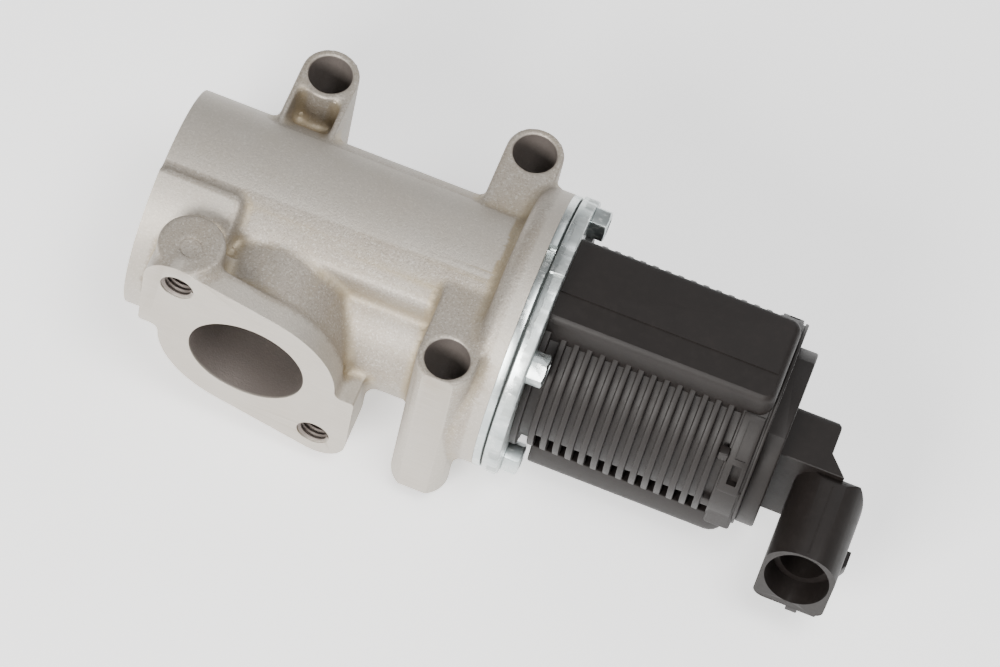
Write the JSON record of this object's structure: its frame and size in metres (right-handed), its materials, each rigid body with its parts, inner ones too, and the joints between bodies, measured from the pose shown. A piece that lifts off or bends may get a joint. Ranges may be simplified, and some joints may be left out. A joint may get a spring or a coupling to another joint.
{
  "type": "egr valve",
  "caption": "Solenoid exhaust gas recirculation valve: a cast housing with an outlet tube, an exhaust flange and mounting bosses, and a ribbed plastic actuator with an angled connector.",
  "frame": {"origin": "centre of the open gas outlet's mouth", "axes": "+X along the valve axis from the outlet to the connector, -Y out of the exhaust flange, +Z along the mounting bosses away from the mounting plane"},
  "size_m": [0.1764, 0.0759, 0.0677],
  "materials": {
    "cast_metal": "satin bead-blasted casting",
    "plated_steel": "bright zinc plating",
    "gasket": "dark coated sheet",
    "bright_steel": "bright plated",
    "black_plastic": "moulded, satin, fibre filled",
    "contact_metal": "tinned",
    "hard_steel": "ground",
    "bush_bronze": "sintered",
    "spring_steel": "drawn wire",
    "seal_rubber": "matt",
    "magnet_iron": "turned",
    "bobbin_plastic": "moulded",
    "copper_wire": "enamelled wire",
    "board_laminate": "laminate"
  },
  "bodies": {
    "housing": {"valve_housing": "cast_metal", "heat_shield_plate": "plated_steel", "joint_gasket": "gasket", "adapter_plate": "plated_steel", "joint_screws": "bright_steel", "actuator_housing": "black_plastic", "end_cap": "black_plastic", "connector_terminals": "contact_metal", "valve_seat_ring": "hard_steel", "stem_guide_bush": "bush_bronze", "stem_scraper": "hard_steel", "return_spring": "spring_steel", "rod_seal": "seal_rubber", "solenoid_yoke": "magnet_iron", "pole_core": "magnet_iron", "front_bush": "bush_bronze", "coil_bobbin": "bobbin_plastic", "coil_winding": "copper_wire", "armature_sleeve": "plated_steel", "rear_plate": "magnet_iron", "rear_bush": "bush_bronze", "sensor_spring": "spring_steel", "sensor_board": "board_laminate", "cap_seal": "seal_rubber"},
    "armature": {"armature": "magnet_iron", "push_rod": "hard_steel"},
    "valve": {"valve_head": "hard_steel", "valve_stem": "hard_steel", "spring_retainer": "spring_steel", "retainer_clip": "hard_steel"},
    "sensor": {"sensor_slider": "bobbin_plastic", "sensor_wiper": "spring_steel"}
  },
  "joints": [
    {"name": "armature_travel", "type": "slide", "parent": "housing", "child": "armature", "axis": [-1, 0, 0], "range_m": [0, 0.005], "stiffness_N_per_m": 4500, "springref_m": -0.0067, "deforming": ["return_spring", "sensor_spring"]},
    {"name": "valve_lift", "type": "slide", "parent": "housing", "child": "valve", "axis": [-1, 0, 0], "range_m": [0, 0.005]},
    {"name": "sensor_travel", "type": "slide", "parent": "housing", "child": "sensor", "axis": [-1, 0, 0], "range_m": [0, 0.005]}
  ],
  "couplings": [
    {"joint": "valve_lift", "follows": "armature_travel", "ratio": 1},
    {"joint": "sensor_travel", "follows": "armature_travel", "ratio": 1}
  ]
}
